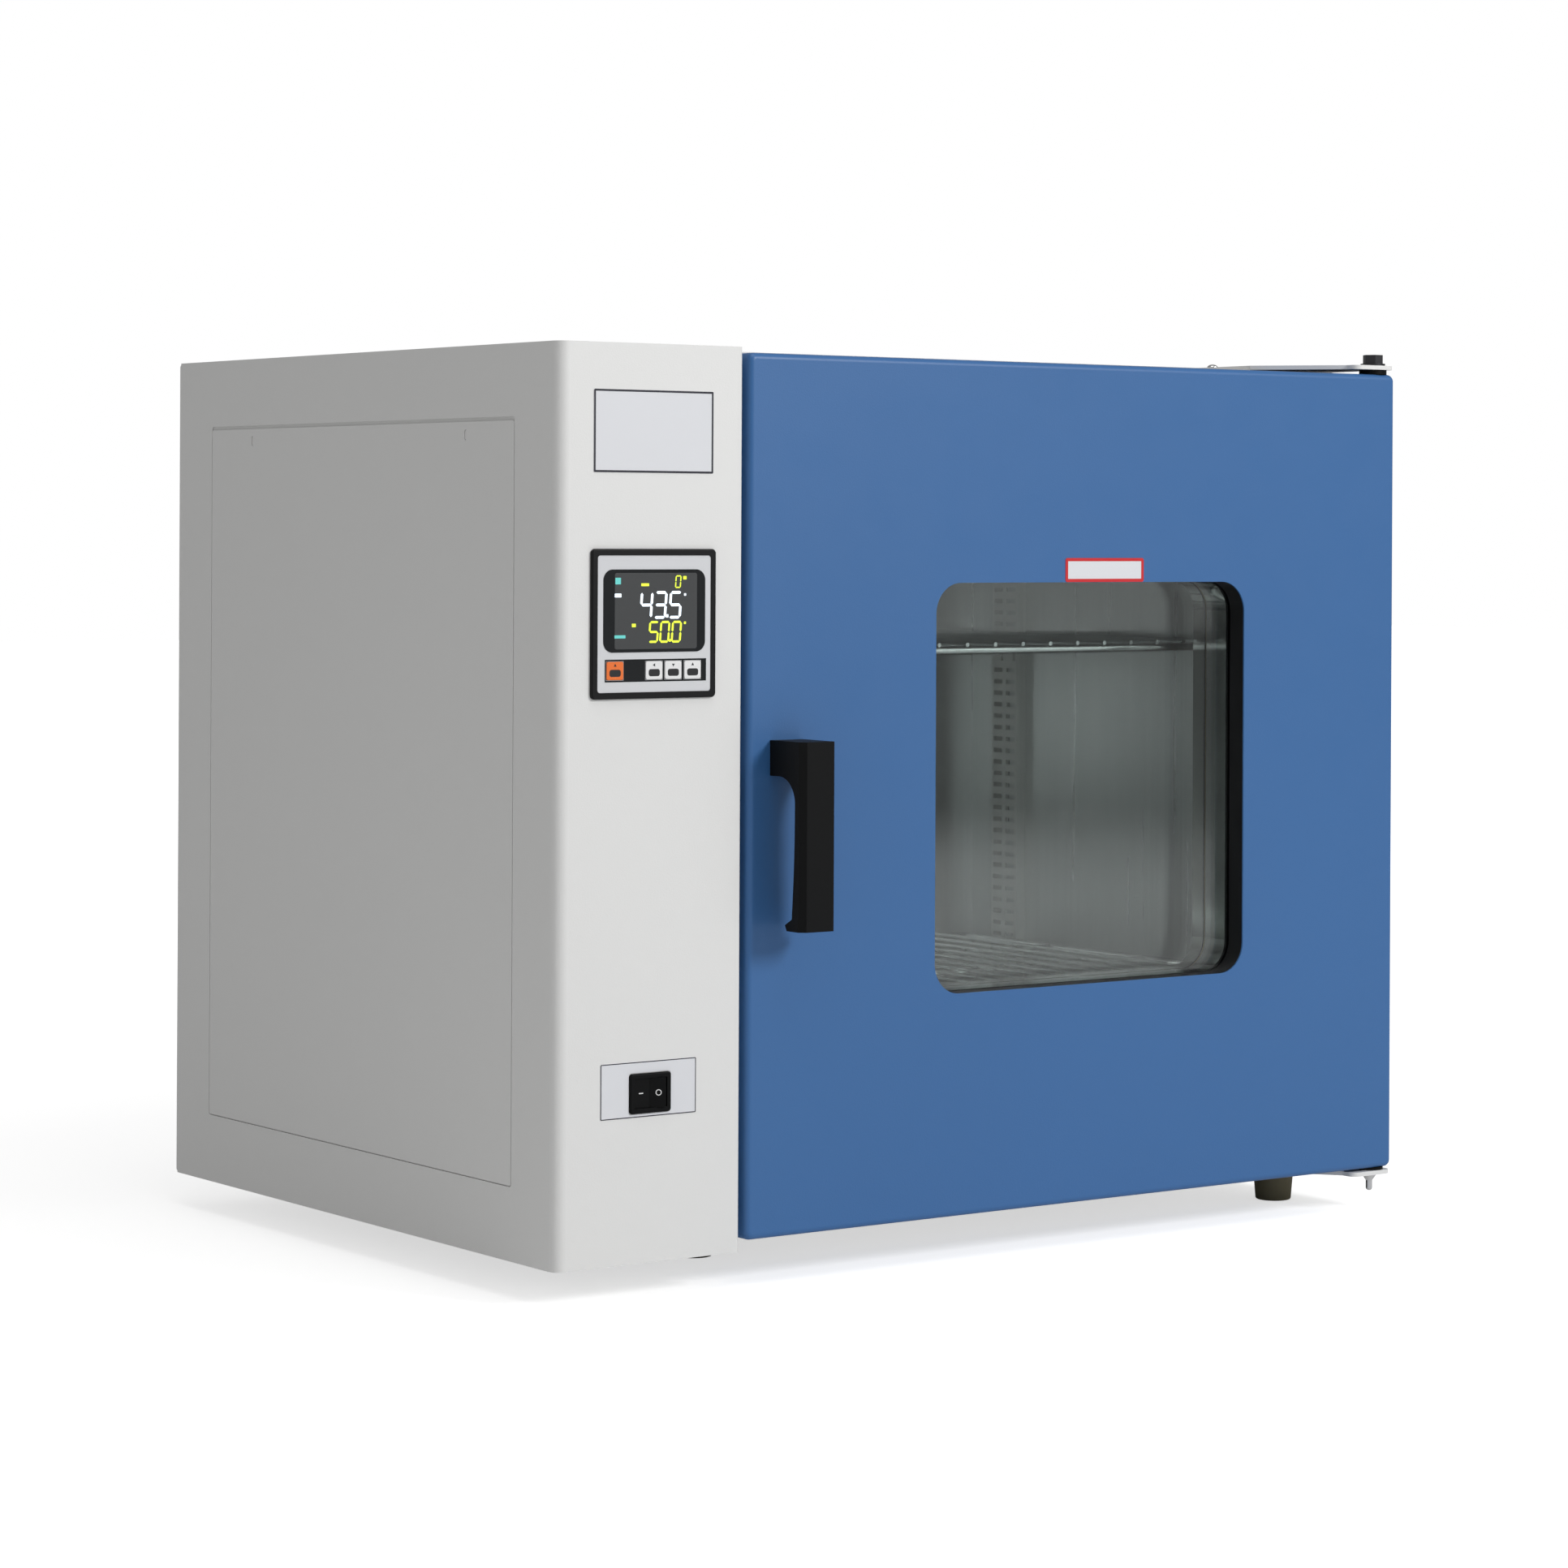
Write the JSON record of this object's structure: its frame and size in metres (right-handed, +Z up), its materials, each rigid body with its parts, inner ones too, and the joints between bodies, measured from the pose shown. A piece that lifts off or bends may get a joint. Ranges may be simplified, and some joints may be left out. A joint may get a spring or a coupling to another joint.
{
  "type": "drying oven",
  "caption": "Bench-top forced-air drying oven: insulated steel chamber with wire shelves, hinged window door and a side column for controls, fan motor and wiring.",
  "frame": {"origin": "middle of the footprint, on the surface that the feet stand on", "axes": "+X to the right as one faces the door, +Y to the rear, +Z up"},
  "size_m": [0.728, 0.55, 0.625],
  "materials": {
    "case_paint": "off-white powder coat",
    "door_paint": "blue powder coat, fine orange peel",
    "stainless": "satin stainless sheet",
    "zinc_sheet": "zinc-plated sheet",
    "bright_steel": "bright steel",
    "dark_steel": "blackened steel",
    "heater_steel": "heat-darkened steel tube",
    "motor_paint": "black enamel",
    "mineral_wool": "mineral wool",
    "pane": "clear tempered glass",
    "black_rubber": "black moulded rubber",
    "silicone": "red-brown silicone",
    "foot_rubber": "dark rubber",
    "handle_plastic": "black moulded plastic",
    "black_plastic": "black moulded plastic",
    "face_plastic": "silver-white face",
    "display_lens": "dark display lens",
    "orange_plastic": "orange key",
    "key_plastic": "white key",
    "relay_plastic": "aluminium heat sink and grey relay",
    "terminal_plastic": "cream moulded strip"
  },
  "bodies": {
    "cabinet": {"left_side_and_column": "case_paint", "access_panel": "case_paint", "top_panel": "case_paint", "bottom_pan": "case_paint", "right_side_panel": "case_paint", "back_panel": "case_paint", "compartment_wall": "zinc_sheet", "front_frame": "stainless", "chamber_liner": "stainless", "lagging": "mineral_wool", "duct_panel": "stainless", "fan_motor": "motor_paint", "tube_heaters": "heater_steel", "temperature_probe": "bright_steel", "shelf_posts": "stainless", "shelf_clips": "stainless", "controller_bezel": "black_plastic", "controller_face": "face_plastic", "controller_display": "display_lens", "controller_case": "black_plastic", "switch_housing": "black_plastic", "terminal_block": "terminal_plastic", "relay": "relay_plastic", "overheat_limiter": "zinc_sheet", "power_inlet": "black_plastic", "vent_duct": "stainless", "hinge_plate_top": "case_paint", "hinge_plate_bottom": "case_paint", "hinge_bolt_top": "dark_steel", "hinge_bolt_bottom": "bright_steel", "catch_magnet": "black_plastic", "case_screws": "bright_steel", "foot_screws": "bright_steel", "foot_front_left": "foot_rubber", "foot_front_right": "foot_rubber", "foot_back_left": "foot_rubber", "foot_back_right": "foot_rubber"},
    "door": {"door_shell": "door_paint", "door_inner_panel": "stainless", "door_lagging": "mineral_wool", "window_rubber": "black_rubber", "window_outer_glass": "pane", "window_inner_glass": "pane", "window_tunnel": "stainless", "door_seal": "silicone", "catch_plate": "bright_steel", "door_bushes": "black_plastic", "door_handle": "handle_plastic", "handle_screws": "bright_steel"},
    "fan": {"fan_shaft": "bright_steel", "fan_wheel": "bright_steel"},
    "rocker": {"switch_rocker": "black_plastic"},
    "set_key_cap": {"set_key": "orange_plastic"},
    "shift_key_cap": {"shift_key": "key_plastic"},
    "down_key_cap": {"down_key": "key_plastic"},
    "up_key_cap": {"up_key": "key_plastic"},
    "lower_shelf_rack": {"lower_shelf": "bright_steel"},
    "upper_shelf_rack": {"upper_shelf": "bright_steel"},
    "damper": {"vent_damper": "stainless"}
  },
  "joints": [
    {"name": "door_hinge", "type": "hinge", "parent": "cabinet", "child": "door", "pos_m": [0.352, -0.228, 0.3205], "axis": [0, 0, 1], "range_deg": [0, 180]},
    {"name": "fan_spin", "type": "hinge", "parent": "cabinet", "child": "fan", "pos_m": [-0.17, 0.0035, 0.319], "axis": [1, 0, 0], "continuous": true},
    {"name": "rocker_tilt", "type": "hinge", "parent": "cabinet", "child": "rocker", "pos_m": [-0.2925, -0.236, 0.1332], "axis": [0, 0, 1], "range_deg": [0, 20]},
    {"name": "lower_shelf_slide", "type": "slide", "parent": "cabinet", "child": "lower_shelf_rack", "axis": [0, -1, 0], "range_m": [0, 0.015]},
    {"name": "upper_shelf_slide", "type": "slide", "parent": "cabinet", "child": "upper_shelf_rack", "axis": [0, -1, 0], "range_m": [0, 0.015]},
    {"name": "damper_turn", "type": "hinge", "parent": "cabinet", "child": "damper", "pos_m": [0.074, 0.121, 0.618], "axis": [0, 0, 1], "range_deg": [0, 45]},
    {"name": "set_key_press", "type": "slide", "parent": "cabinet", "child": "set_key_cap", "axis": [0, 1, 0], "range_m": [0, 0.0006], "stiffness_N_per_m": 1500, "springref_m": -0.0004},
    {"name": "shift_key_press", "type": "slide", "parent": "cabinet", "child": "shift_key_cap", "axis": [0, 1, 0], "range_m": [0, 0.0006], "stiffness_N_per_m": 1500, "springref_m": -0.0004},
    {"name": "down_key_press", "type": "slide", "parent": "cabinet", "child": "down_key_cap", "axis": [0, 1, 0], "range_m": [0, 0.0006], "stiffness_N_per_m": 1500, "springref_m": -0.0004},
    {"name": "up_key_press", "type": "slide", "parent": "cabinet", "child": "up_key_cap", "axis": [0, 1, 0], "range_m": [0, 0.0006], "stiffness_N_per_m": 1500, "springref_m": -0.0004}
  ]
}
